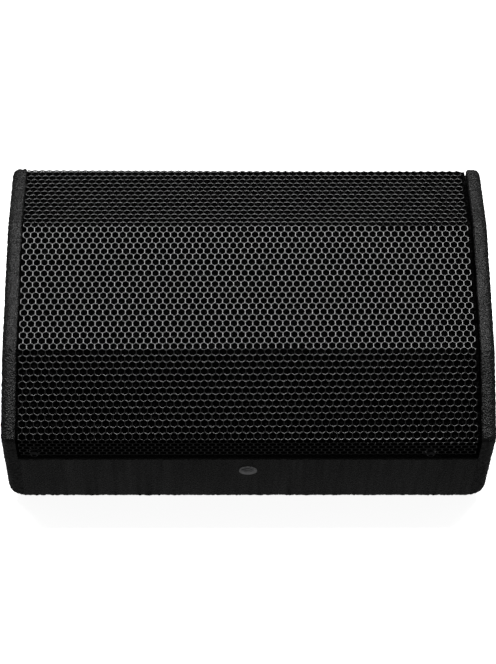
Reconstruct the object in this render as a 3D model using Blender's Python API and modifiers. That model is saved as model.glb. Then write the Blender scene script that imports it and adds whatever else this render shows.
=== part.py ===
"""Low-profile coaxial stage monitor wedge, built from its separate parts.

The cabinet is a plywood box between two side panels that stand proud of a folded
grille. X is the width, -Y the front (towards the performer), +Z is up, and the
origin lies on the floor under the middle of the cabinet. Lengths are in metres.

In the side view a point is (y, z). The cabinet's outline runs clockwise from the
toe: chin, lower facet, middle facet, upper facet, back slope, rear, base. Each of
its lines has a frame of its own: X along the width, Y along the line, Z outwards.
"""
import itertools
import math

import bmesh
import bpy
from mathutils import Vector

MM = 0.001

# Driving dimensions
WIDTH = 588 * MM             # over both side panels
SIDE_THICKNESS = 17 * MM
BOARD = 15 * MM              # every other plywood panel
GAP = 0.3 * MM               # between touching parts
FOOT_HEIGHT = 5 * MM
REAR_HEIGHT = 175 * MM       # of the upright rear panel, above the base
CHIN_LENGTH = 161 * MM
LOWER_FACET = 110.2 * MM
MIDDLE_FACET = 175.8 * MM
UPPER_FACET = 110.6 * MM
BAFFLE_TILT = math.radians(35.7)
FACET_BREAK = math.radians(19.65)
CHIN_SLOPE = math.radians(128)
SIDE_PROUD = 2 * MM          # side panels stand out this far past the grille
BACK_RECESS = 2.6 * MM       # the back slope lies this far inside the side panels
REAR_RECESS = 5.4 * MM       # and the rear panel this far
BOTTOM_EDGE_RADIUS = 25 * MM

CHIN_STRIP = 110.6 * MM      # visible part of the chin, from the toe
GRILLE_THICKNESS = 1.5 * MM
GRILLE_CLEARANCE = 4 * MM    # to each side panel, before the shift
GRILLE_SHIFT = -2 * MM       # the grille sits this far towards the left
CHIN_FLANGE = 40 * MM
BACK_FLANGE = 24 * MM
FOAM_THICKNESS = 5 * MM
FOAM_ROUND_NOSE = 20 * MM    # the foam runs on past the nose
FOAM_ROUND_CREST = 6 * MM    # and past the crest
BAFFLE_DEPTH = 48 * MM       # from the middle facet to the front of the baffle

POLE_INSERT_FROM_TOE = 77.3 * MM
FLANGE_SCREW_FROM_TOE = 128 * MM
FLANGE_SCREW_X = {"left": -256 * MM, "right": 218 * MM}

DRIVER_FROM_FOLD = MIDDLE_FACET / 2
CONE_FRAME_RADIUS = 156 * MM
DRIVER_BOLT_RADIUS = 151 * MM
PORT_X = 215 * MM

INSIDE = WIDTH / 2 - SIDE_THICKNESS
FINE = 28                    # sides of a large turned part
COARSE = 16                  # sides of a small one
FASTENER = 10                # sides of a screw


# ---------------------------------------------------------------- side view

def polar(length, angle):
    return Vector((length * math.cos(angle), length * math.sin(angle)))


def outward(angle):
    """Normal of an outline's line that runs in this direction."""
    return Vector((-math.sin(angle), math.cos(angle)))


def corner_points(toe):
    """Corners of the outline with the toe at this place."""
    nose = toe + polar(CHIN_LENGTH, CHIN_SLOPE)
    lower_fold = nose + polar(LOWER_FACET, BAFFLE_TILT + FACET_BREAK)
    upper_fold = lower_fold + polar(MIDDLE_FACET, BAFFLE_TILT)
    crest = upper_fold + polar(UPPER_FACET, BAFFLE_TILT - FACET_BREAK)
    drop = crest.y - toe.y - REAR_HEIGHT
    shoulder = crest + Vector((drop * math.tan(BAFFLE_TILT), -drop))
    heel = Vector((shoulder.x, toe.y))
    return [toe, nose, lower_fold, upper_fold, crest, shoulder, heel]


def line_angle(start, end):
    return math.atan2(end.y - start.y, end.x - start.x)


def offset_corners(points, distances):
    """Move each line of a closed clockwise outline outwards by its distance."""
    moved = []
    count = len(points)
    for i, point in enumerate(points):
        before = outward(line_angle(points[i - 1], point))
        after = outward(line_angle(point, points[(i + 1) % count]))
        d_before = distances[i - 1]
        d_after = distances[i]
        cosine = before.dot(after)
        shift = before * (d_before - d_after * cosine) + after * (d_after - d_before * cosine)
        moved.append(point + shift / (1 - cosine * cosine))
    return moved


def rounded(points, radii, steps=3):
    """Replace each corner of a closed outline with an arc."""
    result = []
    count = len(points)
    for i, point in enumerate(points):
        to_before = (points[i - 1] - point).normalized()
        to_after = (points[(i + 1) % count] - point).normalized()
        half = to_before.angle(to_after) / 2
        reach = radii[i] / math.tan(half)
        centre = point + (to_before + to_after).normalized() * radii[i] / math.sin(half)
        start = point + to_before * reach - centre
        end = point + to_after * reach - centre
        for k in range(steps + 1):
            blend = start.lerp(end, k / steps)
            result.append(centre + blend.normalized() * radii[i])
    return result


def strip(path, near, far):
    """Closed outline of a sheet that follows a path between two depths below it."""
    lines = [line_angle(a, b) for a, b in zip(path, path[1:])]

    def below(depth):
        side = [path[0] - outward(lines[0]) * depth]
        for first, second, point in zip(lines, lines[1:], path[1:-1]):
            bisector = (outward(first) + outward(second)).normalized()
            side.append(point - bisector * depth / bisector.dot(outward(first)))
        side.append(path[-1] - outward(lines[-1]) * depth)
        return side

    return below(near) + list(reversed(below(far)))


def meet(point_a, angle_a, point_b, angle_b):
    """Where two lines cross."""
    direction = polar(1, angle_a)
    normal = outward(angle_b)
    return point_a + direction * ((point_b - point_a).dot(normal) / direction.dot(normal))


def side_outline(corners):
    """Outline of a side panel: proud of the three grille facets, flush elsewhere."""
    proud = [0, SIDE_PROUD, SIDE_PROUD, SIDE_PROUD, 0, 0, 0]
    radii = [4 * MM, 5 * MM, 5 * MM, 5 * MM, 8.5 * MM, 10 * MM, 8 * MM]
    return rounded(offset_corners(corners, proud), radii)


def centred_corners():
    """Outline corners with the side panels centred on the origin in depth."""
    trial = corner_points(Vector((0, FOOT_HEIGHT)))
    depths = [p.x for p in side_outline(trial)]
    return corner_points(Vector((-(min(depths) + max(depths)) / 2, FOOT_HEIGHT)))


CORNERS = centred_corners()
TOE, NOSE, LOWER_FOLD, UPPER_FOLD, CREST, SHOULDER, HEEL = CORNERS
BACK_ANGLE = BAFFLE_TILT - math.pi / 2


def baffle_point(along, depth):
    """A point in the baffle's own directions, measured from the lower fold."""
    return LOWER_FOLD + polar(along, BAFFLE_TILT) - outward(BAFFLE_TILT) * depth


def chin_point(along, depth=0.0):
    """A point on the chin line, measured from the toe and inwards."""
    return TOE + polar(along, CHIN_SLOPE) - outward(CHIN_SLOPE) * depth


# ---------------------------------------------------------------- scene helpers

def clear_scene():
    for obj in list(bpy.data.objects):
        bpy.data.objects.remove(obj, do_unlink=True)
    for collection in list(bpy.data.collections):
        bpy.data.collections.remove(collection)


def new_collection(name):
    collection = bpy.data.collections.new(name)
    bpy.context.scene.collection.children.link(collection)
    return collection


clear_scene()
PARTS = new_collection("stage_monitor_wedge")
CUTTERS = new_collection("cutters")


def material(name, colour, roughness, metallic=0.0):
    made = bpy.data.materials.get(name)
    if made is None:
        made = bpy.data.materials.new(name)
        made.use_nodes = True
        shader = made.node_tree.nodes["Principled BSDF"]
        shader.inputs["Base Color"].default_value = (*colour, 1.0)
        shader.inputs["Roughness"].default_value = roughness
        shader.inputs["Metallic"].default_value = metallic
    return made


def coated_wood():
    return material("coated_wood", (0.022, 0.022, 0.022), 0.62)


def black_steel():
    return material("black_steel", (0.018, 0.018, 0.018), 0.38, 0.2)


def bright_steel():
    return material("bright_steel", (0.55, 0.55, 0.56), 0.3, 1.0)


def cast_alloy():
    return material("cast_alloy", (0.05, 0.05, 0.05), 0.5, 0.4)


def ferrite():
    return material("ferrite", (0.06, 0.06, 0.065), 0.6, 0.1)


def black_plastic():
    return material("black_plastic", (0.02, 0.02, 0.02), 0.45)


def rubber():
    return material("rubber", (0.02, 0.02, 0.02), 0.8)


def foam():
    return material("foam", (0.012, 0.012, 0.012), 0.95)


def paper_cone():
    return material("paper_cone", (0.03, 0.03, 0.03), 0.8)


def copper():
    return material("copper", (0.72, 0.35, 0.18), 0.35, 1.0)


def circuit_board():
    return material("circuit_board", (0.03, 0.16, 0.06), 0.5)


def add_object(name, mesh, surface=None, collection=PARTS):
    obj = bpy.data.objects.new(name, mesh)
    collection.objects.link(obj)
    if surface:
        mesh.materials.append(surface)
    if collection is CUTTERS:
        obj.hide_render = True
        obj.display_type = "WIRE"
    return obj


def frame_empty(name, point, angle):
    """Empty with X along the width, Y along a line of the outline, Z outwards."""
    empty = bpy.data.objects.new(name, None)
    PARTS.objects.link(empty)
    empty.location = (0, point.x, point.y)
    empty.rotation_euler = (angle, 0, 0)
    return empty


def attach(obj, parent, location=(0, 0, 0), rotation=(0, 0, 0)):
    obj.parent = parent
    obj.location = location
    obj.rotation_euler = rotation
    return obj


def flat_outline(name, points, depth, surface=None, collection=PARTS):
    """Flat outline in local XY, extruded along local Z, as a welded mesh."""
    curve = bpy.data.curves.new(name + "_outline", "CURVE")
    curve.dimensions = "2D"
    curve.fill_mode = "BOTH"
    curve.extrude = depth / 2
    spline = curve.splines.new("POLY")
    spline.points.add(len(points) - 1)
    for target, point in zip(spline.points, points):
        target.co = (point.x, point.y, 0, 1)
    spline.use_cyclic_u = True
    guide = bpy.data.objects.new(name + "_guide", curve)
    bpy.context.scene.collection.objects.link(guide)
    bpy.context.view_layer.update()
    depsgraph = bpy.context.evaluated_depsgraph_get()
    mesh = bpy.data.meshes.new_from_object(guide.evaluated_get(depsgraph))
    bpy.data.objects.remove(guide, do_unlink=True)
    cage = bmesh.new()
    cage.from_mesh(mesh)
    bmesh.ops.remove_doubles(cage, verts=cage.verts, dist=0.00001)
    bmesh.ops.recalc_face_normals(cage, faces=cage.faces)
    cage.to_mesh(mesh)
    cage.free()
    mesh.name = name
    return add_object(name, mesh, surface, collection)


def board(name, points, surface, x_low=-INSIDE + GAP, x_high=INSIDE - GAP):
    """Board with this outline in the side view, between two places across."""
    obj = flat_outline(name, points, x_high - x_low, surface)
    obj.location = ((x_low + x_high) / 2, 0, 0)
    obj.rotation_euler = (math.pi / 2, 0, math.pi / 2)
    return obj


def block(name, size, surface=None, collection=PARTS):
    """Box of this size, centred in X and Y and standing on z = 0."""
    cage = bmesh.new()
    bmesh.ops.create_cube(cage, size=1.0)
    bmesh.ops.translate(cage, verts=cage.verts, vec=(0, 0, 0.5))
    bmesh.ops.scale(cage, verts=cage.verts, vec=size)
    mesh = bpy.data.meshes.new(name)
    cage.to_mesh(mesh)
    cage.free()
    return add_object(name, mesh, surface, collection)


def turned(name, profile, surface=None, sides=FINE, collection=PARTS, closed=True):
    """Turned part: (radius, height) points in millimetres, spun about local Z."""
    mesh = bpy.data.meshes.new(name)
    points = [(radius * MM, 0, height * MM) for radius, height in profile]
    edges = [(i, i + 1) for i in range(len(points) - 1)]
    if closed:
        edges.append((len(points) - 1, 0))
    mesh.from_pydata(points, edges, [])
    obj = add_object(name, mesh, surface, collection)
    screw = obj.modifiers.new("turn", "SCREW")
    screw.axis = "Z"
    screw.steps = sides
    screw.render_steps = sides
    screw.use_merge_vertices = True
    screw.merge_threshold = 0.00001
    screw.use_smooth_shade = False
    return obj


def cut(obj, cutter, operation="DIFFERENCE"):
    boolean = obj.modifiers.new(cutter.name, "BOOLEAN")
    boolean.operation = operation
    boolean.object = cutter
    boolean.solver = "EXACT"
    return obj


def drill(name, parent, location, radius, length, sides=FINE):
    """Cylindrical cutter on a frame's Z axis, centred on this location."""
    half = length / 2 / MM
    r = radius / MM
    profile = [(0, half), (r, half), (r, -half), (0, -half)]
    cutter = turned(name, profile, sides=sides, collection=CUTTERS, closed=False)
    return attach(cutter, parent, location)


# ---------------------------------------------------------------- cabinet

BAFFLE_FRAME = frame_empty("baffle_frame", baffle_point(0, BAFFLE_DEPTH), BAFFLE_TILT)
CHIN_FRAME = frame_empty("chin_frame", TOE, CHIN_SLOPE)
BACK_FRAME = frame_empty(
    "back_frame", CREST.lerp(SHOULDER, 0.5) - outward(BACK_ANGLE) * BACK_RECESS, BACK_ANGLE
)
REAR_FRAME = frame_empty(
    "rear_frame", SHOULDER.lerp(HEEL, 0.5) - Vector((REAR_RECESS, 0)), -math.pi / 2
)
BASE_FRAME = frame_empty("base_frame", HEEL.lerp(TOE, 0.5), math.pi)


def bottom_edge_cutter(side):
    """Everything outside the rounded lower edge of one side."""
    radius = BOTTOM_EDGE_RADIUS
    spare = 8 * MM
    centre = Vector((WIDTH / 2 - radius, FOOT_HEIGHT + radius))
    arc = [centre + polar(radius, math.radians(-90 + 90 * k / 8)) for k in range(9)]
    points = arc + [
        arc[-1] + Vector((spare, 0)),
        Vector((WIDTH / 2 + spare, FOOT_HEIGHT - spare)),
        arc[0] + Vector((0, -spare)),
    ]
    points = [Vector((p.x * side, p.y)) for p in points]
    cutter = flat_outline(f"bottom_edge_{side}", points, 2 * WIDTH, collection=CUTTERS)
    cutter.rotation_euler = (math.pi / 2, 0, 0)
    return cutter


def side_panels(edge_cutters):
    outline = side_outline(CORNERS)
    left = board("side_panel_left", outline, coated_wood(), -WIDTH / 2, -INSIDE)
    right = board("side_panel_right", outline, coated_wood(), INSIDE, WIDTH / 2)
    cut(left, edge_cutters[-1])
    cut(right, edge_cutters[1])


def box_panels(edge_cutters):
    """Chin, base, rear and back slope, mitred where they meet."""
    recesses = [0, 0, 0, 0, BACK_RECESS, REAR_RECESS, 0]
    outer = offset_corners(CORNERS, [-recess for recess in recesses])
    inner = offset_corners(CORNERS, [-recess - BOARD for recess in recesses])

    def panel(name, start_out, end_out, end_in, start_in):
        along = (end_out - start_out).normalized() * (GAP / 2)
        points = [start_out + along, end_out - along, end_in - along, start_in + along]
        return board(name, points, coated_wood())

    strip_top = [chin_point(CHIN_STRIP), chin_point(CHIN_STRIP, BOARD)]
    chin = panel("chin_panel", outer[0], strip_top[0], strip_top[1], inner[0])
    base = panel("base_panel", outer[6], outer[0], inner[0], inner[6])
    rear = panel("rear_panel", outer[5], outer[6], inner[6], inner[5])
    top_depth = 44.5 * MM
    top_outer = meet(outer[5], BACK_ANGLE, baffle_point(0, top_depth), BAFFLE_TILT)
    top_inner = meet(inner[5], BACK_ANGLE, baffle_point(0, top_depth), BAFFLE_TILT)
    back = panel("back_slope_panel", top_outer, outer[5], inner[5], top_inner)
    for trimmed in (chin, base):
        for cutter in edge_cutters.values():
            cut(trimmed, cutter)
    return chin, base, rear, back


def baffle_and_batten():
    """Baffle between chin and back slope, and the batten that carries its foot."""
    batten_near = BOARD + GAP
    batten_far = batten_near + BOARD
    back_inner = CREST - outward(BACK_ANGLE) * (BACK_RECESS + BOARD + GAP)

    def end_points(depth):
        level = baffle_point(0, depth)
        foot = meet(level, BAFFLE_TILT, chin_point(0, batten_near), CHIN_SLOPE)
        head = meet(level, BAFFLE_TILT, back_inner, BACK_ANGLE)
        return foot, head

    front_foot, front_head = end_points(BAFFLE_DEPTH)
    rear_foot, rear_head = end_points(BAFFLE_DEPTH + BOARD)
    baffle = board("baffle", [front_foot, front_head, rear_head, rear_foot], coated_wood())
    under = baffle_point(0, BAFFLE_DEPTH + BOARD + GAP)
    overlap_from_toe = 90 * MM
    batten = board(
        "grille_batten",
        [
            chin_point(overlap_from_toe, batten_near),
            meet(under, BAFFLE_TILT, chin_point(0, batten_near), CHIN_SLOPE),
            meet(under, BAFFLE_TILT, chin_point(0, batten_far), CHIN_SLOPE),
            chin_point(overlap_from_toe, batten_far),
        ],
        coated_wood(),
    )
    return baffle, batten


def feet():
    """Four rubber feet, pressed against the base."""
    spread_x = 225 * MM
    spread_y = (HEEL.x - TOE.x) / 2 - 45 * MM
    height = FOOT_HEIGHT / MM
    profile = [(0, height), (11, height), (13, 0.3), (0, 0.3)]
    for side, x in (("left", -spread_x), ("right", spread_x)):
        for end, y in (("rear", -spread_y), ("front", spread_y)):
            foot = turned(f"foot_{end}_{side}", profile, rubber(), COARSE, closed=False)
            attach(foot, BASE_FRAME, (x, y, 0))


# ---------------------------------------------------------------- grille

def grille():
    """Folded steel sheet; its perforation is finer than this model."""
    chin_end = NOSE - polar(CHIN_FLANGE, CHIN_SLOPE)
    back_end = CREST + polar(BACK_FLANGE, BACK_ANGLE)
    path = [chin_end, NOSE, LOWER_FOLD, UPPER_FOLD, CREST, back_end]
    reach = INSIDE - GRILLE_CLEARANCE
    ends = (GRILLE_SHIFT - reach, GRILLE_SHIFT + reach)
    sheet = board("grille", strip(path, 0, GRILLE_THICKNESS), black_steel(), *ends)
    near = GRILLE_THICKNESS + GAP
    foam_path = [
        NOSE - polar(FOAM_ROUND_NOSE, CHIN_SLOPE),
        *path[1:-1],
        CREST + polar(FOAM_ROUND_CREST, BACK_ANGLE),
    ]
    board("grille_foam", strip(foam_path, near, near + FOAM_THICKNESS), foam(), *ends)
    return sheet


def button_screw(name, head, length, radius, surface, parent, location):
    """Button-head screw along a frame's -Z; the head's seat is at the location."""
    high = head * 0.55
    profile = [
        (0, high * 0.35),
        (head * 0.4, high * 0.35),
        (head * 0.4, high),
        (head * 0.62, high),
        (head, high * 0.3),
        (head, 0),
        (radius, 0),
        (radius, -length),
        (0, -length),
    ]
    screw = turned(name, profile, surface, FASTENER, closed=False)
    return attach(screw, parent, location)


def grille_fixings(sheet, batten, back):
    """Two screws through the chin flange, on spacers, and two at the back."""
    for side, x in FLANGE_SCREW_X.items():
        place = (x, FLANGE_SCREW_FROM_TOE, 0)
        button_screw(
            f"grille_screw_{side}", 5.25, 28, 3, black_steel(), CHIN_FRAME,
            (x, FLANGE_SCREW_FROM_TOE, GAP),
        )
        cut(sheet, drill(f"flange_hole_{side}", CHIN_FRAME, place, 3.4 * MM, 8 * MM, FASTENER))
        cut(batten, drill(f"batten_hole_{side}", CHIN_FRAME, place, 3.4 * MM, 90 * MM, FASTENER))
        top = -(GRILLE_THICKNESS + GAP) / MM
        bottom = -BOARD / MM
        ring = [(7, top), (7, bottom), (3.4, bottom), (3.4, top)]
        spacer = turned(f"grille_spacer_{side}", ring, bright_steel(), FASTENER)
        attach(spacer, CHIN_FRAME, place)
    half_slope = (SHOULDER - CREST).length / 2
    along = -half_slope + 13 * MM
    seat = BACK_RECESS + GAP
    for side, x in (("left", -210 * MM), ("right", 210 * MM)):
        button_screw(
            f"grille_back_screw_{side}", 4.5, 13, 2.4, black_steel(), BACK_FRAME, (x, along, seat)
        )
        hole = drill(f"back_hole_{side}", BACK_FRAME, (x, along, 0), 2.8 * MM, 40 * MM, FASTENER)
        cut(sheet, hole)
        cut(back, hole)


# ---------------------------------------------------------------- pole insert

def pole_insert(chin):
    """Threaded steel insert for a stand's pole, in the middle of the chin."""
    profile = [
        (0, -31), (9, -31), (9, -1), (10.4, 1), (12, 1),
        (12, 0.3), (11.2, 0.3), (11.2, -34), (0, -34),
    ]
    place = (0, POLE_INSERT_FROM_TOE, 0)
    insert = turned("pole_insert", profile, bright_steel(), 24, closed=False)
    attach(insert, CHIN_FRAME, place)
    cut(chin, drill("insert_hole", CHIN_FRAME, place, 11.6 * MM, 40 * MM, 24))


# ---------------------------------------------------------------- handle and connectors

TRAY_WALL = 2 * MM
TRAY_RIM = 14 * MM


def tray(name, parent, centre, opening, depth, panel, surface):
    """Recessed tray with a rim screwed to a panel, and its four screws."""
    x, y = centre
    width, height = opening
    rim = block(name, (width + 2 * TRAY_RIM, height + 2 * TRAY_RIM, TRAY_WALL), surface)
    attach(rim, parent, (x, y, GAP))
    outer = (width + 2 * TRAY_WALL, height + 2 * TRAY_WALL)
    tub = block(name + "_tub", (*outer, depth + TRAY_WALL / 2), collection=CUTTERS)
    attach(tub, parent, (x, y, GAP + TRAY_WALL / 2 - tub.dimensions.z))
    pocket = block(name + "_pocket", (width, height, 2 * depth), collection=CUTTERS)
    attach(pocket, parent, (x, y, GAP + TRAY_WALL - depth))
    cut(rim, tub, "UNION")
    cut(rim, pocket)
    opening_size = (outer[0] + 2 * GAP, outer[1] + 2 * GAP, 4 * BOARD)
    opening_cutter = block(name + "_opening", opening_size, collection=CUTTERS)
    attach(opening_cutter, parent, (x, y, -2 * BOARD))
    cut(panel, opening_cutter)
    for index, (side, end) in enumerate(itertools.product((-1, 1), repeat=2), 1):
        place = (
            x + side * (width + TRAY_RIM) / 2,
            y + end * (height + TRAY_RIM) / 2,
            2 * GAP + TRAY_WALL,
        )
        hole = drill(f"{name}_hole_{index}", parent, place, 2.7 * MM, 60 * MM, FASTENER)
        cut(rim, hole)
        cut(panel, hole)
        button_screw(f"{name}_screw_{index}", 4.3, 14, 2.4, black_steel(), parent, place)
    return rim


def handle(back):
    """Carrying handle: a bar across a recess in the back slope."""
    width, height, depth = 180 * MM, 104 * MM, 46 * MM
    centre = (0, 8 * MM)
    tray("handle_cup", BACK_FRAME, centre, (width, height), depth, back, black_steel())
    half = (width / 2 - GAP) / MM
    profile = [
        (0, half), (8, half), (8, half - 14), (11, half - 17),
        (11, 17 - half), (8, 14 - half), (8, -half), (0, -half),
    ]
    bar = turned("handle_bar", profile, rubber(), COARSE, closed=False)
    attach(bar, BACK_FRAME, (*centre, -13 * MM), (0, math.pi / 2, 0))


CONNECTOR_SIZE = (170 * MM, 84 * MM, 40 * MM)
CONNECTOR_CENTRE_Y = 6 * MM
SOCKET_X = {"in": -52 * MM, "link": -10 * MM}
SELECTOR_X = 48 * MM


def connector_panel(rear):
    """Recessed plate with two loudspeaker sockets and the mode selector."""
    width, height, depth = CONNECTOR_SIZE
    plate = tray(
        "connector_plate", REAR_FRAME, (0, CONNECTOR_CENTRE_Y), (width, height), depth,
        rear, black_steel(),
    )
    floor_top = GAP + TRAY_WALL - depth
    floor_bottom = floor_top - TRAY_WALL
    for use, x in SOCKET_X.items():
        profile = [
            (0, 2.4), (5, 2.4), (5, -16), (10.6, -16), (10.6, 3.3), (15.5, 3.3),
            (15.5, 0.3), (12, 0.3), (12, -26), (0, -26),
        ]
        place = (x, CONNECTOR_CENTRE_Y, floor_top)
        socket = turned(f"speaker_socket_{use}", profile, black_plastic(), 20, closed=False)
        attach(socket, REAR_FRAME, place)
        cut(plate, drill(f"socket_hole_{use}", REAR_FRAME, place, 12.4 * MM, 12 * MM, 20))
    place = (SELECTOR_X, CONNECTOR_CENTRE_Y, floor_bottom)
    ring = [(11, -0.3), (11, -17), (3.4, -17), (3.4, -0.3)]
    switch = turned("mode_switch", ring, black_plastic(), COARSE)
    attach(switch, REAR_FRAME, place)
    cut(plate, drill("switch_hole", REAR_FRAME, place, 3.4 * MM, 12 * MM, COARSE))
    profile = [
        (0, 14), (7.5, 14), (9, 12.5), (9.5, 3), (3, 3), (3, -16), (0, -16),
    ]
    knob = turned("mode_selector_knob", profile, black_plastic(), COARSE, closed=False)
    attach(knob, REAR_FRAME, place)
    pointer = block("knob_pointer", (2.4 * MM, 11 * MM, 5 * MM), collection=CUTTERS)
    attach(pointer, knob, (0, -6 * MM, 10.5 * MM))
    cut(knob, pointer, "UNION")


# ---------------------------------------------------------------- driver

def driver_frame():
    empty = bpy.data.objects.new("driver_axis", None)
    PARTS.objects.link(empty)
    return attach(empty, BAFFLE_FRAME, (0, DRIVER_FROM_FOLD, 0))


def basket(axis):
    """Cast frame with a seat for the surround and six windows."""
    profile = [
        (156, 8), (156, 0.3), (140, 0.3), (137, -14), (92, -58), (92, -66), (45, -66),
        (45, -62), (86, -62), (88, -57), (132, -13), (132, 3), (146, 3), (146, 8),
    ]
    frame = attach(turned("woofer_basket", profile, cast_alloy()), axis)
    for k in range(3):
        size = (2 * CONE_FRAME_RADIUS, 58 * MM, 30 * MM)
        window = block(f"basket_window_{k}", size, collection=CUTTERS)
        attach(window, axis, (0, 0, -54 * MM), (0, 0, math.radians(30 + 60 * k)))
        cut(frame, window)
    return frame


def driver_motor(axis):
    """Magnet system and the fixed centre horn on its pole."""
    parts = {
        "woofer_top_plate": ([(85, -66.3), (85, -76), (40.5, -76), (40.5, -66.3)],
                             bright_steel()),
        "woofer_magnet": ([(90, -76.3), (90, -98.3), (52, -98.3), (52, -76.3)], ferrite()),
        "woofer_back_plate": ([(36.5, -66), (36.5, -98.6), (85, -98.6), (85, -110),
                               (18, -110), (18, -66)], bright_steel()),
        "hf_horn": ([(62, -8), (62, -10), (34, -44), (34, -65.7), (18.5, -65.7),
                     (18.5, -58), (35.5, -38), (59, -8)], black_plastic()),
        "hf_phase_plug": ([(25, -110.3), (25, -131), (9, -131), (17.5, -110.3)],
                          black_plastic()),
        "hf_magnet": ([(50, -110.3), (50, -134), (27, -134), (27, -110.3)], ferrite()),
    }
    for name, (profile, surface) in parts.items():
        attach(turned(name, profile, surface), axis)
    cover = [(0, -145), (51, -145), (51, -110.3), (54, -110.3), (54, -148), (0, -148)]
    attach(turned("hf_cover", cover, black_plastic(), closed=False), axis)


def driver_moving_parts(axis):
    """Cone, coil and high-frequency diaphragm, with the woofer's two suspensions."""
    parts = {
        "woofer_cone": ([(120, 3), (120, 1.6), (115, 1.6), (41.5, -53), (39.6, -53),
                         (39.6, -50.5), (114, 3)], paper_cone()),
        "woofer_voice_coil": ([(39.3, -51), (39.3, -90), (37.2, -90), (37.2, -51)], copper()),
        "woofer_surround": ([(127, 10), (131, 8.4), (133.5, 4.8), (145.5, 4.8),
                             (145.5, 3.3), (132.6, 3.3), (130, 7.2), (127, 8.6),
                             (124, 7.2), (121.4, 3.3), (114.5, 3.3), (114.5, 4.6),
                             (120.6, 4.6), (123, 8.4)], rubber()),
        "woofer_spider": ([(83, -56), (83, -61.7), (76, -61.7), (76, -57), (39.6, -57),
                           (39.6, -56)], foam()),
        "woofer_gasket": ([(145.7, 9), (145.7, 5.1), (134, 5.1), (134, 9)], foam()),
    }
    for name, (profile, surface) in parts.items():
        attach(turned(name, profile, surface), axis)
    dome = [
        (0, -141), (12, -139.6), (20, -136), (22, -134.6), (26, -134.6), (26, -135.2),
        (22.4, -135.2), (20.4, -136.6), (12.2, -140.3), (0, -141.7),
    ]
    attach(turned("hf_diaphragm", dome, bright_steel(), closed=False), axis)


def driver_fixings(axis, frame, baffle):
    """Baffle cut-out and the four bolts through the frame's rim."""
    cut(baffle, drill("driver_cutout", axis, (0, 0, 0), 141 * MM, 60 * MM))
    for k in range(4):
        angle = math.radians(45 + 90 * k)
        place = (
            DRIVER_BOLT_RADIUS * math.cos(angle),
            DRIVER_BOLT_RADIUS * math.sin(angle),
            8 * MM + GAP,
        )
        hole = drill(f"driver_hole_{k}", axis, place, 2.8 * MM, 60 * MM, FASTENER)
        cut(frame, hole)
        cut(baffle, hole)
        button_screw(f"driver_bolt_{k + 1}", 4.2, 26, 2.5, black_steel(), axis, place)


def ports(baffle):
    """Two flared reflex ports beside the driver."""
    profile = [(46, 3), (46, 0.3), (40.5, 0.3), (40.5, -95), (38, -95), (38, 3)]
    for side, x in (("left", -PORT_X), ("right", PORT_X)):
        place = (x, DRIVER_FROM_FOLD, 0)
        port = turned(f"port_tube_{side}", profile, black_plastic(), 24)
        attach(port, BAFFLE_FRAME, place)
        cut(baffle, drill(f"port_hole_{side}", BAFFLE_FRAME, place, 41 * MM, 60 * MM, 24))


# ---------------------------------------------------------------- crossover and lead

def crossover():
    """Passive crossover on the base, beside the magnet."""
    deck = FOOT_HEIGHT + BOARD + GAP
    board_size = (120 * MM, 160 * MM, 2 * MM)
    middle = Vector((-190 * MM, 80 * MM))
    made = block("crossover_board", board_size, circuit_board())
    made.location = (middle.x, middle.y, deck)
    top = deck + board_size[2] + GAP
    coil = turned("crossover_coil", [(26, 24), (26, 0), (11, 0), (11, 24)], copper(), COARSE)
    coil.location = (middle.x - 20 * MM, middle.y + 40 * MM, top)
    can = [(0, 34), (15, 34), (15, 0), (0, 0)]
    capacitor = turned("crossover_capacitor", can, black_plastic(), COARSE, closed=False)
    capacitor.location = (middle.x + 20 * MM, middle.y - 40 * MM, top)


def smooth_route(points, per_span):
    """Catmull-Rom curve through the route's own points."""
    padded = [2 * points[0] - points[1]] + points + [2 * points[-1] - points[-2]]
    route = []
    for a, b, c, d in zip(padded, padded[1:], padded[2:], padded[3:]):
        for k in range(per_span):
            t = k / per_span
            route.append(
                (2 * b + (c - a) * t + (2 * a - 5 * b + 4 * c - d) * t * t
                 + (3 * b - a - 3 * c + d) * t ** 3) / 2
            )
    route.append(points[-1])
    return route


def driver_lead():
    """Lead from the crossover up to the magnet's terminal."""
    route = smooth_route(
        [
            Vector((-0.128, 0.020, 0.024)),
            Vector((-0.126, 0.008, 0.062)),
            Vector((-0.121, -0.001, 0.108)),
            Vector((-0.108, -0.006, 0.146)),
            Vector((-0.094, -0.006, 0.164)),
        ],
        4,
    )
    curve = bpy.data.curves.new("driver_lead", "CURVE")
    curve.dimensions = "3D"
    curve.bevel_depth = 2.5 * MM
    curve.bevel_resolution = 1
    curve.use_fill_caps = True
    spline = curve.splines.new("POLY")
    spline.points.add(len(route) - 1)
    for target, point in zip(spline.points, route):
        target.co = (*point, 1)
    add_object("driver_lead", curve, rubber())


# ---------------------------------------------------------------- assembly

EDGE_CUTTERS = {side: bottom_edge_cutter(side) for side in (-1, 1)}
side_panels(EDGE_CUTTERS)
CHIN, BASE, REAR, BACK = box_panels(EDGE_CUTTERS)
BAFFLE, BATTEN = baffle_and_batten()
feet()
SHEET = grille()
grille_fixings(SHEET, BATTEN, BACK)
pole_insert(CHIN)
handle(BACK)
connector_panel(REAR)
DRIVER_AXIS = driver_frame()
BASKET = basket(DRIVER_AXIS)
driver_motor(DRIVER_AXIS)
driver_moving_parts(DRIVER_AXIS)
driver_fixings(DRIVER_AXIS, BASKET, BAFFLE)
ports(BAFFLE)
crossover()
driver_lead()
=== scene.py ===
"""Looks of a low-profile stage monitor wedge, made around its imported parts.

X is the width, -Y the front (towards the performer) and +Z is up. Lengths are in metres.
In the side view a point is (y, z). The cabinet's outline runs clockwise from the toe:
chin, lower facet, middle facet, upper facet, back slope, rear, base. Each line of it has a
frame of its own: X along the width, Y along the line, Z outwards.
"""

import math

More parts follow.
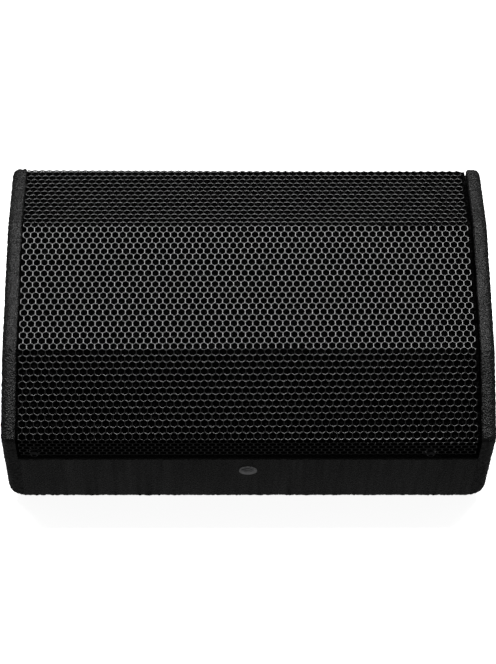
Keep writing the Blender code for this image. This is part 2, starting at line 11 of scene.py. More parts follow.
import bmesh
import bpy
import numpy as np
from mathutils import Euler, Matrix, Vector, noise


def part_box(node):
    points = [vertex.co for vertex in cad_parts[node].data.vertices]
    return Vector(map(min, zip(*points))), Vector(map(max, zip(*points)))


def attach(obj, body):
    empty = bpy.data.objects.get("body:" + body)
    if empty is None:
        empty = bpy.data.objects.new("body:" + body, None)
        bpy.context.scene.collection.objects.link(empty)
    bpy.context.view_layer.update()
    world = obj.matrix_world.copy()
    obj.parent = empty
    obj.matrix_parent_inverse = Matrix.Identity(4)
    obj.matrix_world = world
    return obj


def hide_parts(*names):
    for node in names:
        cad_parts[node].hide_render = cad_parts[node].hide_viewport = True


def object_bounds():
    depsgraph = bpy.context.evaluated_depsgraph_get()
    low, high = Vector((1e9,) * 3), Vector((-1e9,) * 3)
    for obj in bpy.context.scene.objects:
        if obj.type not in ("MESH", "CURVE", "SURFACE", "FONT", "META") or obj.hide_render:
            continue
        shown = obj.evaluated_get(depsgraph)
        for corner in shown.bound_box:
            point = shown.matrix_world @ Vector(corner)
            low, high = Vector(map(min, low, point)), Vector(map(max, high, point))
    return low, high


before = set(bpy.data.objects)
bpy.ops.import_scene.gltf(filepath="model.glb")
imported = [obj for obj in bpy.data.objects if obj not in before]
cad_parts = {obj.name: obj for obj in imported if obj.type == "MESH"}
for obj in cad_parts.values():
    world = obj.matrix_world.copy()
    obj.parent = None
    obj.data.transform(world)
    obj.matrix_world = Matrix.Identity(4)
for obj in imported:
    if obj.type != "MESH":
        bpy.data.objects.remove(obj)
CAD_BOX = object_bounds()

MM = 0.001

# Driving dimensions of the outline, as the cabinet was designed
CHIN_LENGTH = 161 * MM
LOWER_FACET = 110.2 * MM
MIDDLE_FACET = 175.8 * MM
UPPER_FACET = 110.6 * MM
BAFFLE_TILT = math.radians(35.7)
FACET_BREAK = math.radians(19.65)
CHIN_SLOPE = math.radians(128)
SIDE_PROUD = 2 * MM          # side panels stand out this far past the grille
BACK_RECESS = 2.6 * MM       # the back slope lies this far inside the side panels
REAR_RECESS = 5.4 * MM       # and the rear panel this far
BOARD = 15 * MM
CHIN_STRIP = 110.6 * MM      # coated part of the chin, from the toe
BOTTOM_EDGE_RADIUS = 25 * MM
OUTER_EDGE_RADIUS = 9 * MM
INNER_EDGE_RADIUS = 1.6 * MM
SURFACE_STEP = 2 * MM        # spacing of the vertices that carry the coating's relief
BACK_TOP_DEPTH = 44.5 * MM   # upper end of the back slope, below the middle facet
COAT_RELIEF = 0.8 * MM       # height of the coating's pebbles
COARSE_PEBBLES = 300         # scale of the coating's relief
FINE_PEBBLES = 520
FINE_SHARE = 0.7
RELIEF_BIAS = 0.3            # side panels are coated a little thicker

# Perforated sheet
PITCH = 9 * MM               # between the holes of a row
HOLE = 8 * MM                # across the flats of a hexagonal hole
HOLE_CORNER = 4.45 * MM      # from a hole's centre to its rounded corners
RIM_DROP = 0.3 * MM          # the webs are domed: a hole's rim lies this far below them
PATTERN_TURN = math.radians(0.3)   # the rows run this far off the folds
ROW = PITCH * math.sqrt(3) / 2
ROW_PHASE = 0.70             # rows from the lower fold to the first one above it
FIRST_ROW = -19
LAST_ROW = 38
HOLES_IN_ROW = 60
SHEET = 1.5 * MM
WALL_END = 1.3 * MM          # depth at which a hole's wall meets the rounded back
SHEET_BEND = 3.5 * MM        # outer radius of the folds
EDGE_MARGIN = 0.5 * MM       # plain steel left beside the holes that were cut through

# Foam behind the sheet
FOAM = 5 * MM
FOAM_CLEAR = 0.3 * MM        # between the sheet and the foam
FOAM_CLEAR_BEHIND = 2 * MM   # room for the cone at the front of its travel
FOAM_MARGIN = 3.5 * MM       # the soft foam bulges this far beyond its nominal edge
FOAM_BEND = 9 * MM
FOAM_ROUND_NOSE = 20 * MM    # the foam runs this far round the nose and the crest
FOAM_ROUND_CREST = 6 * MM
FOAM_CELLS_ACROSS = 184
FOAM_CELLS_ALONG = 130
FOAM_CELL_NOISE = 260
FOAM_TEAR = 0.35 * MM        # depth of the torn cells
FOAM_TEAR_AT_CREST = 0.1 * MM
FOAM_CREST_STRIP = 8 * MM    # on either side of the crest, where the tears are shallow


# ---------------------------------------------------------------- side view

def polar(length, angle):
    return Vector((length * math.cos(angle), length * math.sin(angle)))


def outward(angle):
    """Normal of an outline's line that runs in this direction."""
    return Vector((-math.sin(angle), math.cos(angle)))


def find_corners():
    """Corners of the outline, hung on the grille's foremost and highest places."""
    low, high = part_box("grille")
    steps = [
        polar(LOWER_FACET, BAFFLE_TILT + FACET_BREAK),
        polar(MIDDLE_FACET, BAFFLE_TILT),
        polar(UPPER_FACET, BAFFLE_TILT - FACET_BREAK),
    ]
    nose = Vector((low.y, high.z - sum(step.y for step in steps)))
    toe = nose - polar(CHIN_LENGTH, CHIN_SLOPE)
    lower_fold = nose + steps[0]
    upper_fold = lower_fold + steps[1]
    crest = upper_fold + steps[2]
    heel = Vector((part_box("rear_panel")[1].y + REAR_RECESS, toe.y))
    shoulder_z = crest.y - (heel.x - crest.x) / math.tan(BAFFLE_TILT)
    return [toe, nose, lower_fold, upper_fold, crest, Vector((heel.x, shoulder_z)), heel]


CORNERS = find_corners()
TOE, NOSE, LOWER_FOLD, UPPER_FOLD, CREST, SHOULDER, HEEL = CORNERS
BACK_ANGLE = BAFFLE_TILT - math.pi / 2
HALF_WIDTH = CAD_BOX[1].x
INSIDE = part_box("side_panel_right")[0].x


def line_angle(start, end):
    return math.atan2(end.y - start.y, end.x - start.x)


def offset_corners(points, distances):
    """Move each line of a closed clockwise outline outwards by its distance."""
    moved = []
    count = len(points)
    for i, point in enumerate(points):
        before = outward(line_angle(points[i - 1], point))
        after = outward(line_angle(point, points[(i + 1) % count]))
        d_before = distances[i - 1]
        d_after = distances[i]
        cosine = before.dot(after)
        shift = before * (d_before - d_after * cosine) + after * (d_after - d_before * cosine)
        moved.append(point + shift / (1 - cosine * cosine))
    return moved


def rounded(points, radii, steps):
    """Replace each corner of a closed outline with an arc, or leave it where its steps are 0."""
    result = []
    count = len(points)
    for i, point in enumerate(points):
        if not steps[i]:
            result.append(point)
            continue
        to_before = (points[i - 1] - point).normalized()
        to_after = (points[(i + 1) % count] - point).normalized()
        half = to_before.angle(to_after) / 2
        reach = radii[i] / math.tan(half)
        centre = point + (to_before + to_after).normalized() * radii[i] / math.sin(half)
        start = (point + to_before * reach - centre).normalized()
        end = (point + to_after * reach - centre).normalized()
        turn = start.angle_signed(end)
        for k in range(steps[i] + 1):
            angle = -turn * k / steps[i]
            arm = Vector((
                start.x * math.cos(angle) - start.y * math.sin(angle),
                start.x * math.sin(angle) + start.y * math.cos(angle),
            ))
            result.append(centre + arm * radii[i])
    return result


def chin_point(along, depth=0.0):
    """A point on the chin line, measured from the toe and inwards."""
    return TOE + polar(along, CHIN_SLOPE) - outward(CHIN_SLOPE) * depth


def meet(point_a, angle_a, point_b, angle_b):
    """Where two lines cross."""
    direction = polar(1, angle_a)
    normal = outward(angle_b)
    return point_a + direction * ((point_b - point_a).dot(normal) / direction.dot(normal))


def line_frame(point, angle):
    """Matrix with X along the width, Y along a line of the outline, Z outwards."""
    return Matrix.Translation((0, point.x, point.y)) @ Matrix.Rotation(angle, 4, "X")


CHIN_FRAME = line_frame(TOE, CHIN_SLOPE)
BACK_FRAME = line_frame(
    CREST.lerp(SHOULDER, 0.5) - outward(BACK_ANGLE) * BACK_RECESS, BACK_ANGLE
)
REAR_FRAME = line_frame(SHOULDER.lerp(HEEL, 0.5) - Vector((REAR_RECESS, 0)), -math.pi / 2)
BASE_FRAME = line_frame(HEEL.lerp(TOE, 0.5), math.pi)
BAFFLE_FRAME = line_frame(LOWER_FOLD, BAFFLE_TILT)


def local_box(node, matrix):
    """Lowest and highest corner of a CAD node in a frame's own directions."""
    inverse = matrix.inverted()
    points = [inverse @ v.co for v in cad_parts[node].data.vertices]
    low = Vector(min(p[i] for p in points) for i in range(3))
    high = Vector(max(p[i] for p in points) for i in range(3))
    return low, high


def node_seat(node, matrix):
    """Frame with the same directions at a turned node's axis, then the node's lowest and
    highest Z in it and its radius, in millimetres."""
    low, high = local_box(node, matrix)
    centre = (low + high) / 2
    seat = matrix @ Matrix.Translation((centre.x, centre.y, 0))
    return seat, low.z / MM, high.z / MM, (high.x - low.x) / 2 / MM


# ---------------------------------------------------------------- materials

NOISE_LOW = 0.35             # a noise's usual range
NOISE_HIGH = 0.65


def grey(value):
    return (value, value, value)


class Surface:
    """A material in the making: its nodes, its links and its Principled BSDF."""

    def __init__(self, name, colour, roughness, metallic=0.0, specular=0.5):
        self.material = bpy.data.materials.new(name)
        self.material.use_nodes = True
        self.nodes = self.material.node_tree.nodes
        self.links = self.material.node_tree.links
        self.shader = self.nodes["Principled BSDF"].inputs
        self.shader["Base Color"].default_value = (*colour, 1.0)
        self.shader["Roughness"].default_value = roughness
        self.shader["Metallic"].default_value = metallic
        self.shader["Specular IOR Level"].default_value = specular

    def noise(self, scale, detail=2.0, stretch=(1, 1, 1)):
        """Noise in the object's own metres."""
        place = self.nodes.new("ShaderNodeTexCoord")
        mapping = self.nodes.new("ShaderNodeMapping")
        mapping.inputs["Scale"].default_value = stretch
        texture = self.nodes.new("ShaderNodeTexNoise")
        texture.inputs["Scale"].default_value = scale
        texture.inputs["Detail"].default_value = detail
        self.links.new(place.outputs["Object"], mapping.inputs["Vector"])
        self.links.new(mapping.outputs["Vector"], texture.inputs["Vector"])
        return texture.outputs[0]

    def tint(self, value, dark, light, start=NOISE_LOW, end=NOISE_HIGH):
        """Let a noise move the colour from dark to light."""
        ramp = self.nodes.new("ShaderNodeValToRGB")
        first, last = ramp.color_ramp.elements
        first.position = start
        first.color = (*dark, 1.0)
        last.position = end
        last.color = (*light, 1.0)
        self.links.new(value, ramp.inputs["Fac"])
        self.links.new(ramp.outputs["Color"], self.shader["Base Color"])

    def roughen(self, value, low, high):
        """Let a noise move the roughness between two values."""
        ranged = self.nodes.new("ShaderNodeMapRange")
        ranged.inputs["From Min"].default_value = NOISE_LOW
        ranged.inputs["From Max"].default_value = NOISE_HIGH
        ranged.inputs["To Min"].default_value = low
        ranged.inputs["To Max"].default_value = high
        self.links.new(value, ranged.inputs["Value"])
        self.links.new(ranged.outputs["Result"], self.shader["Roughness"])

    def bump(self, *heights):
        """Bump by several (value, distance) pairs, the coarsest first."""
        normal = None
        for value, distance in heights:
            bump = self.nodes.new("ShaderNodeBump")
            bump.inputs["Strength"].default_value = 1.0
            bump.inputs["Distance"].default_value = distance
            self.links.new(value, bump.inputs["Height"])
            if normal is not None:
                self.links.new(normal, bump.inputs["Normal"])
            normal = bump.outputs["Normal"]
        self.links.new(normal, self.shader["Normal"])


def textured_coat():
    """Sprayed polyurea: hard black skin with a tight, irregular pebble."""
    made = Surface("textured_coat", grey(0.005), roughness=0.3, specular=0.2)
    pebble = made.noise(scale=520)
    fine = made.noise(scale=1100, detail=1.0)
    broad = made.noise(scale=22, detail=3.0)
    made.tint(broad, grey(0.003), grey(0.007))
    made.roughen(pebble, 0.36, 0.2)
    made.bump((pebble, 1.8 * MM), (fine, 0.5 * MM))
    return made.material


def powder_coat():
    """Satin black powder on sheet steel, with a fine orange peel."""
    made = Surface("powder_coat", grey(0.004), roughness=0.28)
    peel = made.noise(scale=900)
    broad = made.noise(scale=60, detail=3.0)
    made.tint(broad, grey(0.003), grey(0.005))
    made.roughen(broad, 0.25, 0.31)
    made.bump((peel, 0.05 * MM))
    return made.material


def open_foam():
    made = Surface("open_foam", grey(0.002), roughness=0.95, specular=0.0)
    cells = made.noise(scale=420)
    made.tint(cells, grey(0.0004), grey(0.006), 0.5, 0.8)
    made.bump((cells, 0.8 * MM))
    return made.material


def black_oxide():
    """Blackened steel of the screws, a little lighter in random rubbed patches."""
    made = Surface("black_oxide", (0.035, 0.035, 0.036), roughness=0.38, metallic=0.7)
    wear = made.noise(scale=240, detail=4.0)
    made.tint(wear, (0.02, 0.02, 0.021), (0.075, 0.075, 0.078), 0.4, 0.75)
    made.roughen(wear, 0.3, 0.48)
    made.bump((made.noise(scale=2200, detail=1.0), 0.02 * MM))
    return made.material


def zinc_steel():
    made = Surface("zinc_steel", (0.5, 0.5, 0.51), roughness=0.32, metallic=1.0)
    stain = made.noise(scale=180, detail=4.0)
    made.tint(stain, (0.36, 0.36, 0.37), (0.58, 0.58, 0.59))
    made.roughen(stain, 0.26, 0.46)
    turning = made.noise(scale=260, detail=1.0, stretch=(1, 1, 9))
    made.bump((turning, 0.03 * MM))
    return made.material


def cast_aluminium():
    made = Surface("cast_aluminium", (0.05, 0.05, 0.052), roughness=0.55, metallic=0.5)
    grain = made.noise(scale=900, detail=3.0)
    made.tint(grain, (0.035, 0.035, 0.036), (0.07, 0.07, 0.073))
    made.bump((grain, 0.12 * MM))
    return made.material


def titanium():
    made = Surface("titanium", (0.55, 0.53, 0.5), roughness=0.28, metallic=1.0)
    sheen = made.noise(scale=90)
    made.tint(sheen, (0.48, 0.46, 0.43), (0.6, 0.58, 0.55))
    made.bump((made.noise(scale=500, detail=1.0), 0.02 * MM))
    return made.material


def ferrite():
    made = Surface("ferrite", (0.06, 0.06, 0.065), roughness=0.62)
    grit = made.noise(scale=1300, detail=4.0)
    made.tint(grit, (0.04, 0.04, 0.044), (0.085, 0.085, 0.09))
    made.bump((grit, 0.1 * MM))
    return made.material


def moulded_plastic():
    made = Surface("moulded_plastic", grey(0.014), roughness=0.45)
    spark = made.noise(scale=1600)
    broad = made.noise(scale=40)
    made.tint(broad, grey(0.012), grey(0.018))
    made.roughen(broad, 0.38, 0.52)
    made.bump((spark, 0.06 * MM))
    return made.material


def rubber():
    made = Surface("rubber", grey(0.016), roughness=0.75, specular=0.35)
    bloom = made.noise(scale=120, detail=4.0)
    made.tint(bloom, grey(0.012), (0.024, 0.024, 0.023))
    made.roughen(bloom, 0.66, 0.86)
    made.bump((made.noise(scale=1800), 0.05 * MM))
    return made.material


def pressed_paper():
    made = Surface("pressed_paper", grey(0.03), roughness=0.85, specular=0.3)
    fibre = made.noise(scale=420, detail=6.0, stretch=(1, 1, 3))
    made.tint(fibre, grey(0.018), (0.045, 0.044, 0.042))
    made.bump((fibre, 0.35 * MM))
    return made.material


def woven_spider():
    made = Surface("woven_spider", (0.24, 0.16, 0.08), roughness=0.8, specular=0.3)
    weave = made.noise(scale=900, detail=1.0)
    made.tint(weave, (0.17, 0.11, 0.05), (0.32, 0.22, 0.12))
    made.bump((weave, 0.2 * MM))
    return made.material


def copper_wire():
    made = Surface("copper_wire", (0.7, 0.33, 0.16), roughness=0.3, metallic=1.0)
    lay = made.nodes.new("ShaderNodeTexWave")
    lay.bands_direction = "Z"
    lay.inputs["Scale"].default_value = 600
    place = made.nodes.new("ShaderNodeTexCoord")
    made.links.new(place.outputs["Object"], lay.inputs["Vector"])
    made.tint(lay.outputs[0], (0.42, 0.18, 0.08), (0.78, 0.38, 0.19), 0.1, 0.7)
    made.bump((lay.outputs[0], 0.2 * MM))
    return made.material


def solder_mask():
    made = Surface("solder_mask", (0.02, 0.11, 0.045), roughness=0.35)
    tracks = made.nodes.new("ShaderNodeTexBrick")
    tracks.inputs["Scale"].default_value = 60
    tracks.inputs["Mortar Size"].default_value = 0.03
    tracks.inputs["Color1"].default_value = (0.018, 0.10, 0.04, 1)
    tracks.inputs["Color2"].default_value = (0.022, 0.12, 0.05, 1)
    tracks.inputs["Mortar"].default_value = (0.05, 0.19, 0.09, 1)
    place = made.nodes.new("ShaderNodeTexCoord")
    made.links.new(place.outputs["Object"], tracks.inputs["Vector"])
    made.links.new(tracks.outputs["Color"], made.shader["Base Color"])
    made.bump((made.noise(scale=500), 0.04 * MM))
    return made.material


def black_plywood_painted_shade():
    """Baffle and batten: plywood rolled with matt black, darkened to near black as painted shade
    in the gap between the grille's flange and the chin strip.
    """
    made = Surface("black_plywood_painted_shade", grey(0.004), roughness=0.8, specular=0.1)
    grain = made.noise(scale=60, detail=5.0, stretch=(1, 8, 8))
    made.tint(grain, grey(0.002), (0.006, 0.0055, 0.005))
    made.bump((grain, 0.3 * MM))
    return made.material


def pale_floor():
    made = Surface("pale_floor", grey(0.85), roughness=0.9, specular=0.0)
    made.shader["Emission Color"].default_value = (1, 1, 1, 1)
    made.shader["Emission Strength"].default_value = 0.92
    return made.material


COAT = textured_coat()
POWDER = powder_coat()
OPEN_FOAM = open_foam()
OXIDE = black_oxide()
ZINC = zinc_steel()
PLASTIC = moulded_plastic()
RUBBER = rubber()


# ---------------------------------------------------------------- mesh helpers

def linked(name, data):
    """New object in the scene."""
    obj = bpy.data.objects.new(name, data)
    bpy.context.scene.collection.objects.link(obj)
    return obj


def baked(cage, name):
    """Mesh from a bmesh, which is freed."""
    mesh = bpy.data.meshes.new(name)
    cage.to_mesh(mesh)
    cage.free()
    return mesh


def smoothed(mesh, sharp):
    """Shade a mesh smooth, with edges over an angle in degrees kept sharp."""
    mesh.shade_smooth()
    mesh.set_sharp_from_angle(angle=math.radians(sharp))
    return mesh


def finished(name, mesh, surface, matrix=None, body="cabinet", stands_for=()):
    """Object from a mesh that may be in a frame's own directions, riding on a body."""
    if matrix is not None:
        mesh.transform(matrix)
    mesh.materials.clear()
    mesh.materials.append(surface)
    obj = linked(name, mesh)
    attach(obj, body)
    if stands_for:
        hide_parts(*stands_for)


def lofted(name, rings, sharp=40):
    """Closed solid through rings of equally many 3-D points."""
    cage = bmesh.new()
    rows = [[cage.verts.new(p) for p in ring] for ring in rings]
    count = len(rows[0])
    for lower, upper in zip(rows, rows[1:]):
        for i in range(count):
            j = (i + 1) % count
            cage.faces.new((lower[i], lower[j], upper[j], upper[i]))
    cage.faces.new(list(reversed(rows[0])))
    cage.faces.new(rows[-1])
    bmesh.ops.recalc_face_normals(cage, faces=cage.faces)
    return smoothed(baked(cage, name), sharp)


def hexagon(angle):
    """Radius factor of a hexagon with a unit apothem."""
    sixth = math.pi / 3
    return 1 / math.cos((angle % sixth) - sixth / 2)


def turned(name, profile, sides=48, sharp=35):
    """Closed turned solid about Z. A profile point is (radius, height) in millimetres, or
    (radius, height, shape), where the shape scales the radius by the angle."""
    rings = []
    for point in profile:
        radius, height = point[0] * MM, point[1] * MM
        shape = point[2] if len(point) > 2 else None
        ring = []
        for k in range(sides):
            angle = 2 * math.pi * k / sides
            reach = radius * (shape(angle) if shape else 1)
            ring.append((reach * math.cos(angle), reach * math.sin(angle), height))
        rings.append(ring)
    return lofted(name, rings, sharp=sharp)


def bore(radius, low, high, place, sides=48):
    """Cutter for a round hole; its radius and heights are in millimetres."""
    mesh = turned("bore", [(radius, high), (radius, low)], sides)
    mesh.transform(place)
    return mesh


def joined(meshes, name):
    """One mesh from several."""
    cage = bmesh.new()
    for mesh in meshes:
        cage.from_mesh(mesh)
        bpy.data.meshes.remove(mesh)
    return baked(cage, name)


def carved(mesh, cutters):
    """The mesh with each cutter's volume taken away."""
    body = linked("carving", mesh)
    helpers = []
    for k, cutter_mesh in enumerate(cutters):
        cutter = linked(f"carving_cutter_{k}", cutter_mesh)
        helpers.append(cutter)
        boolean = body.modifiers.new(cutter.name, "BOOLEAN")
        boolean.operation = "DIFFERENCE"
        boolean.solver = "EXACT"
        boolean.object = cutter
    bpy.context.view_layer.update()
    depsgraph = bpy.context.evaluated_depsgraph_get()
    result = bpy.data.meshes.new_from_object(body.evaluated_get(depsgraph))
    for helper in helpers + [body]:
        bpy.data.objects.remove(helper, do_unlink=True)
    return result


def box_mesh(low, high, matrix):
    cage = bmesh.new()
    bmesh.ops.create_cube(cage, size=1.0)
    size = high - low
    bmesh.ops.scale(cage, verts=cage.verts, vec=size)
    bmesh.ops.translate(cage, verts=cage.verts, vec=(low + high) / 2)
    bmesh.ops.transform(cage, matrix=matrix, verts=cage.verts)
    return baked(cage, "box")


# ---------------------------------------------------------------- cabinet

def edge_inset(radius, distance):
    """How far a rounded edge has drawn in, this far from the side that it leads to."""
    if distance >= radius:
        return 0.0
    return radius - math.sqrt(max(radius ** 2 - (radius - distance) ** 2, 0))


def round_stations(radius, steps):
    return [radius * (1 - math.cos(math.pi / 2 * k / steps)) for k in range(steps + 1)]


def segment_counts(outline, spacing):
    """How many pieces each side of an outline is split into."""
    ends = outline[1:] + outline[:1]
    return [max(1, round((b - a).length / spacing)) for a, b in zip(outline, ends)]


def split_outline(outline, counts):
    ends = outline[1:] + outline[:1]
    return [a.lerp(b, k / n) for a, b, n in zip(outline, ends, counts) for k in range(n)]


def relief_at(place, shift):
    """The coating's relief at a place; the shift sets its finer part off the coarse one."""
    fine = noise.noise(place * FINE_PEBBLES + shift)
    return noise.noise(place * COARSE_PEBBLES) + FINE_SHARE * fine


def pebbled(mesh, height):
    """Push a mesh's vertices in and out by the coating's relief."""
    for vert in mesh.vertices:
        rough = relief_at(vert.co, Vector((7, 3, 5)))
        vert.co += vert.normal * height * (RELIEF_BIAS + rough)


def side_panel(side, sign):
    """Side panel as a loft: every line of its outline draws in towards the rounded edges."""
    proud = [0, SIDE_PROUD, SIDE_PROUD, SIDE_PROUD, 0, 0, 0]
    outer_radii = [OUTER_EDGE_RADIUS] * 6 + [BOTTOM_EDGE_RADIUS]
    inner_radii = [0] + [INNER_EDGE_RADIUS] * 5 + [0]
    corner_radii = [5, 6, 6, 6, 5, 10, 8]    # in millimetres, from the toe
    smallest_share = 0.4                     # of a corner's radius, left at the outer face
    thickness = HALF_WIDTH - INSIDE
    stations = round_stations(OUTER_EDGE_RADIUS, 9)
    stations += [depth * MM for depth in (10.8, 12.6, 14.2)]    # on the flat rim
    stations += [thickness - d for d in reversed(round_stations(INNER_EDGE_RADIUS, 3))]
    rings = []
    counts = None
    for from_outside in stations:
        distances = []
        for out, outer, inner in zip(proud, outer_radii, inner_radii):
            drawn = edge_inset(outer, from_outside)
            if inner:
                drawn = max(drawn, edge_inset(inner, thickness - from_outside))
            distances.append(out - drawn)
        drawn_share = edge_inset(OUTER_EDGE_RADIUS, from_outside) / OUTER_EDGE_RADIUS
        share = 1 - (1 - smallest_share) * drawn_share
        radii = [radius * MM * share for radius in corner_radii]
        outline = rounded(offset_corners(CORNERS, distances), radii, [6] * len(radii))
        counts = counts or segment_counts(outline, SURFACE_STEP)
        x = sign * (HALF_WIDTH - from_outside)
        rings.append([(x, p.x, p.y) for p in split_outline(outline, counts)])
    mesh = lofted(f"side_cheek_{side}", rings, sharp=50)
    pebbled(mesh, COAT_RELIEF)
    finished(
        mesh.name, mesh, COAT, stands_for=(f"side_panel_{side}",)
    )


def band_outline(base_inset):
    """Section through chin strip, base, rear and back slope."""
    recess = [0, 0, 0, 0, BACK_RECESS, REAR_RECESS, base_inset]
    outer = offset_corners(CORNERS, [-r for r in recess])
    recess[-1] = 0
    inner = offset_corners(CORNERS, [-r - BOARD for r in recess])
    top = LOWER_FOLD - outward(BAFFLE_TILT) * BACK_TOP_DEPTH
    points = [
        chin_point(CHIN_STRIP),
        chin_point(CHIN_STRIP, BOARD),
        inner[0],
        inner[6],
        inner[5],
        meet(inner[5], BACK_ANGLE, top, BAFFLE_TILT),
        meet(outer[5], BACK_ANGLE, top, BAFFLE_TILT),
        outer[5],
        outer[6],
        outer[0],
    ]
    radii = [2 * MM, 0, 0, 0, 0, 0, 2 * MM, 6 * MM, 6 * MM, 5 * MM]
    steps = [4, 0, 0, 0, 0, 0, 4, 6, 6, 6]
    return rounded(points, radii, steps)


def pebbled_edge(point, height):
    """A point on the band, moved by the coating's relief: half as far in depth as in height."""
    place = Vector(point)
    rough = relief_at(place, Vector())
    return (place.x, place.y - height * rough * 0.5, place.z - height * rough)


def cabinet_band():
    """Coated chin strip, base, rear and back slope between the side panels."""
    thickness = HALF_WIDTH - INSIDE
    slices = round(2 * INSIDE / SURFACE_STEP)
    rings = []
    for k in range(slices + 1):
        x = -INSIDE + 2 * INSIDE * k / slices
        from_outside = thickness + min(x + INSIDE, INSIDE - x)
        outline = band_outline(edge_inset(BOTTOM_EDGE_RADIUS, from_outside))
        ring = [(x, p.x, p.y) for p in outline]
        relief = COAT_RELIEF if 0 < k < slices else 0
        rings.append([pebbled_edge(point, relief) for point in ring])
    mesh = lofted("cabinet_band", rings)
    rim = 11 * MM
    through = 40
    cutters = []
    for node, matrix in (("handle_cup", BACK_FRAME), ("connector_plate", REAR_FRAME)):
        low, high = local_box(node, matrix)
        low = Vector((low.x + rim, low.y + rim, -through * MM))
        high = Vector((high.x - rim, high.y - rim, through * MM))
        cutters.append(box_mesh(low, high, matrix))
    seat = node_seat("pole_insert", CHIN_FRAME)[0]
    cutters.append(bore(11.6, -through, through, seat))
    mesh = smoothed(carved(mesh, cutters), 40)
    mesh.name = "cabinet_band"
    panels = ("chin_panel", "base_panel", "rear_panel", "back_slope_panel")
    finished("cabinet_band", mesh, COAT, stands_for=panels)


# ---------------------------------------------------------------- folded sheets

class FoldedPath:
    """The grille's section: straight lines joined by bends, by distance from the lower fold."""

    def __init__(self):
        self.angles = [
            CHIN_SLOPE,
            BAFFLE_TILT + FACET_BREAK,
            BAFFLE_TILT,
            BAFFLE_TILT - FACET_BREAK,
            BACK_ANGLE,
        ]
        self.folds = [-LOWER_FACET, 0.0, MIDDLE_FACET, MIDDLE_FACET + UPPER_FACET]
        self.corners = [NOSE, LOWER_FOLD, UPPER_FOLD, CREST]

    def reach(self, fold, radius):
        """Half the length of the path that a bend of this radius takes up."""
        return radius * math.tan((self.angles[fold] - self.angles[fold + 1]) / 2)

    def place(self, along, depth):
        """Arrays of y and z for distances along the path and depths below it."""
        y = np.empty_like(along)
        z = np.empty_like(along)
        for line, angle in enumerate(self.angles):
            fold = max(line - 1, 0)
            start = self.folds[line - 1] if line else -np.inf
            end = self.folds[line] if line < len(self.folds) else np.inf
            mask = (along >= start) & (along < end)
            run = along[mask] - self.folds[fold]
            out = outward(angle)
            y[mask] = self.corners[fold].x + run * math.cos(angle) - out.x * depth[mask]
            z[mask] = self.corners[fold].y + run * math.sin(angle) - out.y * depth[mask]
        bend = np.where(depth < SHEET_BEND, SHEET_BEND, FOAM_BEND)
        for fold, corner in enumerate(self.corners):
            before = self.angles[fold]
            after = self.angles[fold + 1]
            reach = self.reach(fold, bend)
            middle = outward((before + after) / 2)
            mask = np.abs(along - self.folds[fold]) < reach
            to_centre = bend[mask] / math.cos((before - after) / 2)
            share = (along[mask] - self.folds[fold]) / reach[mask] / 2 + 0.5
            angle = before + (after - before) * share
            radius = bend[mask] - depth[mask]
            y[mask] = corner.x - middle.x * to_centre - np.sin(angle) * radius
            z[mask] = corner.y - middle.y * to_centre + np.cos(angle) * radius
        return y, z

    def bend(self, mesh):
        """Fold a flat mesh: its Y is the distance along, its Z the height above the path."""
        points = np.empty(len(mesh.vertices) * 3, np.float32)
        mesh.vertices.foreach_get("co", points)
        points = points.reshape(-1, 3).astype(float)
        y, z = self.place(points[:, 1], -points[:, 2])
        folded = np.stack([points[:, 0], y, z], axis=1)
        mesh.vertices.foreach_set("co", folded.astype(np.float32).ravel())
        mesh.update()


PATH = FoldedPath()
GRILLE_CENTRE = (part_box("grille")[0].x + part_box("grille")[1].x) / 2


def hole_cells():
    """Every hole as (x, distance along, kept sides). Sides run clockwise from the upper
    right one. Rows shift by half a pitch in turn, and the sheet's cut edges run through
    the middle of a hole in every second row."""
    middle = (HOLES_IN_ROW - 1) / 2
    cells = []
    for row in range(FIRST_ROW - 1, LAST_ROW + 2):
        shift = 0.25 if row % 2 else -0.25
        along = (ROW_PHASE + row) * ROW
        kept = {0, 1, 2, 3, 4, 5}
        if row < FIRST_ROW:
            kept = {5, 0}
        if row > LAST_ROW:
            kept = {2, 3}
        for k in range(HOLES_IN_ROW):
            cells.append(((k - middle + shift) * PITCH, along, kept))
        open_side = -1 if shift > 0 else 1
        inner_sides = {0, 1, 2} if open_side < 0 else {3, 4, 5}
        edge = open_side * (middle + 0.75) * PITCH
        cells.append((edge, along, kept & inner_sides))
    return cells


def cell_side():
    """One side of a cell, from its first corner clockwise to the next: points and faces.
    The web's middle line lies highest; the hole has rounded corners."""
    corner = PITCH / math.sqrt(3)
    places = [
        (corner, 0, 0), (corner, 60, 0),
        (HOLE_CORNER, 0, -RIM_DROP), (HOLE / 2, 30, -RIM_DROP), (HOLE_CORNER, 60, -RIM_DROP),
        (HOLE_CORNER, 0, -WALL_END), (HOLE / 2, 30, -WALL_END), (HOLE_CORNER, 60, -WALL_END),
        (corner, 0, -SHEET), (corner, 60, -SHEET),
    ]
    faces = [
        (0, 2, 3), (0, 3, 1), (3, 4, 1),
        (2, 5, 6, 3), (3, 6, 7, 4),
        (5, 8, 6), (8, 9, 6), (6, 9, 7),
    ]
    return places, faces


def perforated_flat():
    """The flat sheet: around each hole a domed web, a wall and the back."""
    places, side_faces = cell_side()
    sides = []
    for side in range(6):
        turned_by = [(r, math.radians(60 * side + a), z) for r, a, z in places]
        sides.append([(r * math.sin(a), r * math.cos(a), z) for r, a, z in turned_by])
    sides = np.array(sides)
    points = []
    for x, along, kept in hole_cells():
        for side in kept:
            points.append(sides[side] + (x, along, 0))
    points = np.array(points).reshape(-1, 3)
    keys = np.round(points / (0.001 * MM)).astype(np.int64)
    _, first, inverse = np.unique(keys, axis=0, return_index=True, return_inverse=True)
    index = inverse.reshape(-1, len(places))
    faces = [row for face in side_faces for row in index[:, face].tolist()]
    mesh = bpy.data.meshes.new("perforated_grille")
    mesh.from_pydata(points[first].tolist(), [], faces)
    return mesh


